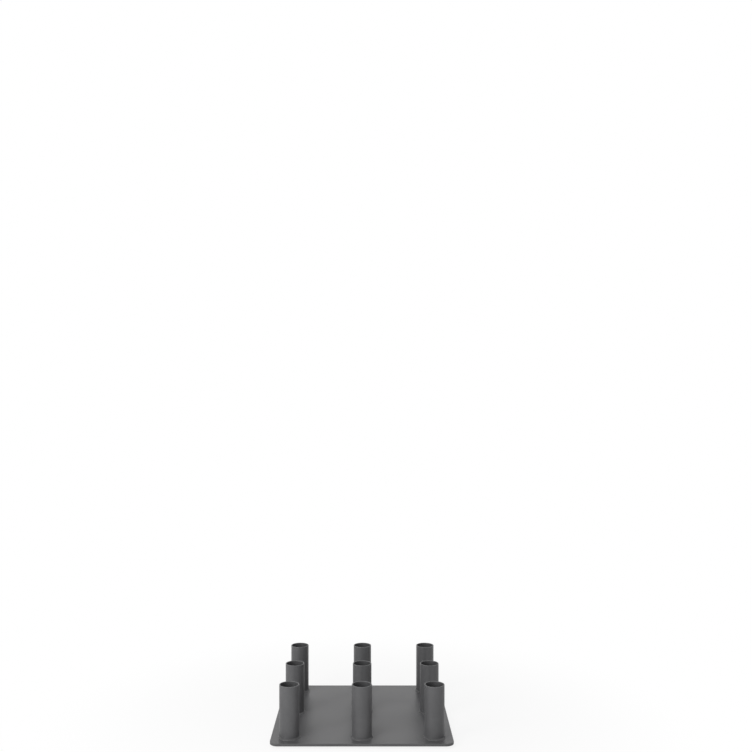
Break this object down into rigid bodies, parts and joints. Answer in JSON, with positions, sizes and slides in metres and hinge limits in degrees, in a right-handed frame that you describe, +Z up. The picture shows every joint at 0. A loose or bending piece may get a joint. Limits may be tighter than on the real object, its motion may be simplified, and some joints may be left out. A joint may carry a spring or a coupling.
{
  "type": "floor rack",
  "caption": "Low floor rack with upright round sockets welded to a flat square plate, which hold long bars standing on end.",
  "frame": {"origin": "on the floor, under the centre of the square plate", "axes": "+Z up along the socket tubes, +X to the right and +Y to the rear as seen from the front"},
  "size_m": [0.545, 0.545, 0.174],
  "materials": {
    "powder_coat": "dark grey powder coat, satin, with a fine orange-peel surface",
    "painted_weld": "fillet weld under the same dark grey powder coat, softly rippled",
    "pad_rubber": "matt black rubber",
    "foot_rubber": "matt black moulded rubber",
    "zinc_steel": "bright zinc plate"
  },
  "bodies": {
    "root": {"base_plate": "powder_coat", "socket_tube_front_left": "powder_coat", "weld_bead_front_left": "painted_weld", "seat_pad_front_left": "pad_rubber", "socket_tube_front_centre": "powder_coat", "weld_bead_front_centre": "painted_weld", "seat_pad_front_centre": "pad_rubber", "socket_tube_front_right": "powder_coat", "weld_bead_front_right": "painted_weld", "seat_pad_front_right": "pad_rubber", "socket_tube_middle_left": "powder_coat", "weld_bead_middle_left": "painted_weld", "seat_pad_middle_left": "pad_rubber", "socket_tube_middle_centre": "powder_coat", "weld_bead_middle_centre": "painted_weld", "seat_pad_middle_centre": "pad_rubber", "socket_tube_middle_right": "powder_coat", "weld_bead_middle_right": "painted_weld", "seat_pad_middle_right": "pad_rubber", "socket_tube_rear_left": "powder_coat", "weld_bead_rear_left": "painted_weld", "seat_pad_rear_left": "pad_rubber", "socket_tube_rear_centre": "powder_coat", "weld_bead_rear_centre": "painted_weld", "seat_pad_rear_centre": "pad_rubber", "socket_tube_rear_right": "powder_coat", "weld_bead_rear_right": "painted_weld", "seat_pad_rear_right": "pad_rubber", "rubber_foot_front_left": "foot_rubber", "foot_washer_front_left": "zinc_steel", "foot_screw_front_left": "zinc_steel", "rubber_foot_front_right": "foot_rubber", "foot_washer_front_right": "zinc_steel", "foot_screw_front_right": "zinc_steel", "rubber_foot_middle_centre": "foot_rubber", "foot_washer_middle_centre": "zinc_steel", "foot_screw_middle_centre": "zinc_steel", "rubber_foot_rear_left": "foot_rubber", "foot_washer_rear_left": "zinc_steel", "foot_screw_rear_left": "zinc_steel", "rubber_foot_rear_right": "foot_rubber", "foot_washer_rear_right": "zinc_steel", "foot_screw_rear_right": "zinc_steel"}
  },
  "joints": []
}
